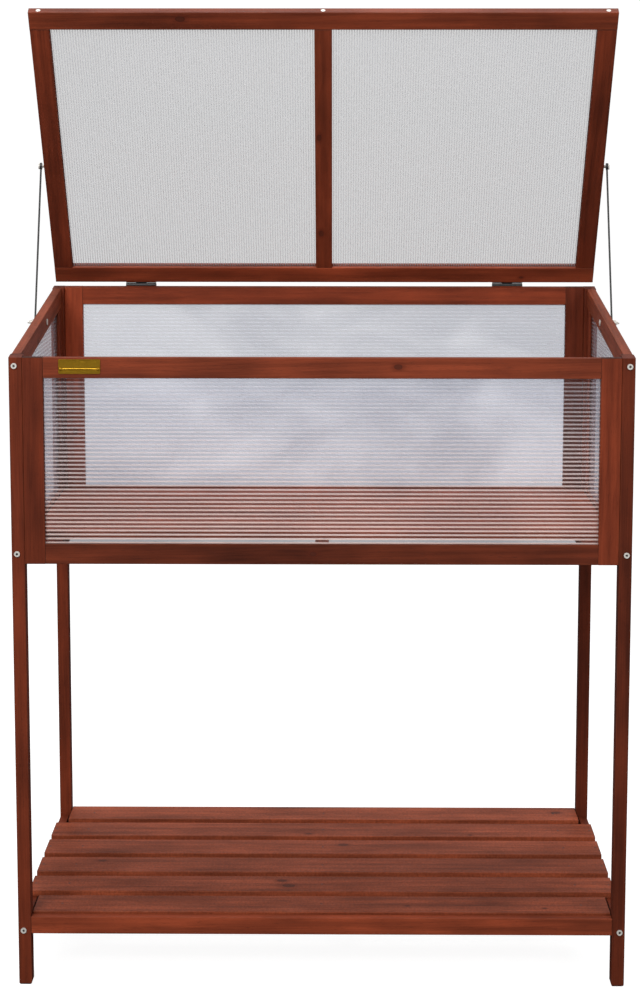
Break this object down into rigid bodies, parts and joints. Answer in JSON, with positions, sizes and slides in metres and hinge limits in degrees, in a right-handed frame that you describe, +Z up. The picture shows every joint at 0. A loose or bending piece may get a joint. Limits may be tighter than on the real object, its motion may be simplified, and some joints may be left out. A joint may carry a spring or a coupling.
{
  "type": "cold frame",
  "caption": "Glazed timber cold frame on legs with a sloping top, a hinged lid held by hooked stays, a boarded floor and a slatted shelf.",
  "frame": {"origin": "centre of the overall footprint on the ground, with the lid open", "axes": "+X to the right seen from the front, +Y to the back, where the hinges are, +Z up"},
  "size_m": [0.9276, 0.5239, 1.4472],
  "materials": {
    "stained_wood_dark": "satin red-brown wood stain",
    "stained_wood_mid": "satin red-brown wood stain",
    "stained_wood_light": "satin red-brown wood stain, paler from the light on it",
    "twin_wall_sheet": "clear twin-wall polycarbonate with straight flutes",
    "black_steel": "black finish",
    "zinc_plate": "zinc plate",
    "brass_plate": "satin, blank"
  },
  "bodies": {
    "frame": {"front_left_leg": "stained_wood_dark", "front_right_leg": "stained_wood_dark", "rear_left_leg": "stained_wood_dark", "rear_right_leg": "stained_wood_dark", "front_left_stile": "stained_wood_dark", "front_right_stile": "stained_wood_dark", "rear_left_stile": "stained_wood_dark", "rear_right_stile": "stained_wood_dark", "rear_top_rail": "stained_wood_dark", "left_front_stile": "stained_wood_dark", "left_rear_stile": "stained_wood_dark", "right_front_stile": "stained_wood_dark", "right_rear_stile": "stained_wood_dark", "floor_bearers": "stained_wood_dark", "shelf_left_rail": "stained_wood_dark", "shelf_right_rail": "stained_wood_dark", "shelf_battens": "stained_wood_dark", "front_top_rail": "stained_wood_mid", "front_bottom_rail": "stained_wood_mid", "rear_bottom_rail": "stained_wood_mid", "left_bottom_rail": "stained_wood_mid", "right_bottom_rail": "stained_wood_mid", "floor_boards": "stained_wood_mid", "shelf_front_rail": "stained_wood_mid", "shelf_rear_rail": "stained_wood_mid", "left_top_rail": "stained_wood_light", "right_top_rail": "stained_wood_light", "shelf_slat_1": "stained_wood_light", "shelf_slat_2": "stained_wood_light", "shelf_slat_3": "stained_wood_light", "shelf_slat_4": "stained_wood_light", "shelf_slat_5": "stained_wood_light", "shelf_slat_6": "stained_wood_light", "front_glazing": "twin_wall_sheet", "rear_glazing": "twin_wall_sheet", "left_glazing": "twin_wall_sheet", "right_glazing": "twin_wall_sheet", "hinge_frame_leaves": "black_steel", "deck_nails": "black_steel", "hinge_pins": "zinc_plate", "stay_bolts": "zinc_plate", "leg_bolts": "zinc_plate", "hinge_frame_screws": "zinc_plate", "name_plate": "brass_plate"},
    "lid": {"lid_front_rail": "stained_wood_mid", "lid_rear_rail": "stained_wood_mid", "lid_left_stile": "stained_wood_dark", "lid_right_stile": "stained_wood_dark", "lid_mullion": "stained_wood_mid", "lid_left_glazing": "twin_wall_sheet", "lid_right_glazing": "twin_wall_sheet", "hinge_lid_leaves": "black_steel", "hinge_lid_screws": "zinc_plate", "lid_frame_screws": "zinc_plate", "stay_pivot_screws": "zinc_plate"},
    "left_stay": {"left_stay": "black_steel"},
    "right_stay": {"right_stay": "black_steel"},
    "left_wing_nut": {"left_wing_nut": "zinc_plate"},
    "right_wing_nut": {"right_wing_nut": "zinc_plate"}
  },
  "joints": [
    {"name": "lid_hinge", "type": "hinge", "parent": "frame", "child": "lid", "pos_m": [0, 0.25244, 1.00603], "axis": [1, 0, 0], "range_deg": [0, 64.18]},
    {"name": "left_stay_pivot", "type": "hinge", "parent": "lid", "child": "left_stay", "pos_m": [-0.4525, 0.13172, 1.2057], "axis": [1, 0, 0], "range_deg": [-64.18, 0]},
    {"name": "right_stay_pivot", "type": "hinge", "parent": "lid", "child": "right_stay", "pos_m": [0.4525, 0.13172, 1.2057], "axis": [1, 0, 0], "range_deg": [-64.18, 0]},
    {"name": "left_wing_nut_turn", "type": "hinge", "parent": "frame", "child": "left_wing_nut", "pos_m": [-0.457, 0.04024, 0.96368], "axis": [1, 0, 0], "continuous": true},
    {"name": "right_wing_nut_turn", "type": "hinge", "parent": "frame", "child": "right_wing_nut", "pos_m": [0.457, 0.04024, 0.96368], "axis": [1, 0, 0], "continuous": true}
  ],
  "couplings": [
    {"joint": "left_stay_pivot", "follows": "lid_hinge", "ratio": -1},
    {"joint": "right_stay_pivot", "follows": "lid_hinge", "ratio": -1}
  ]
}
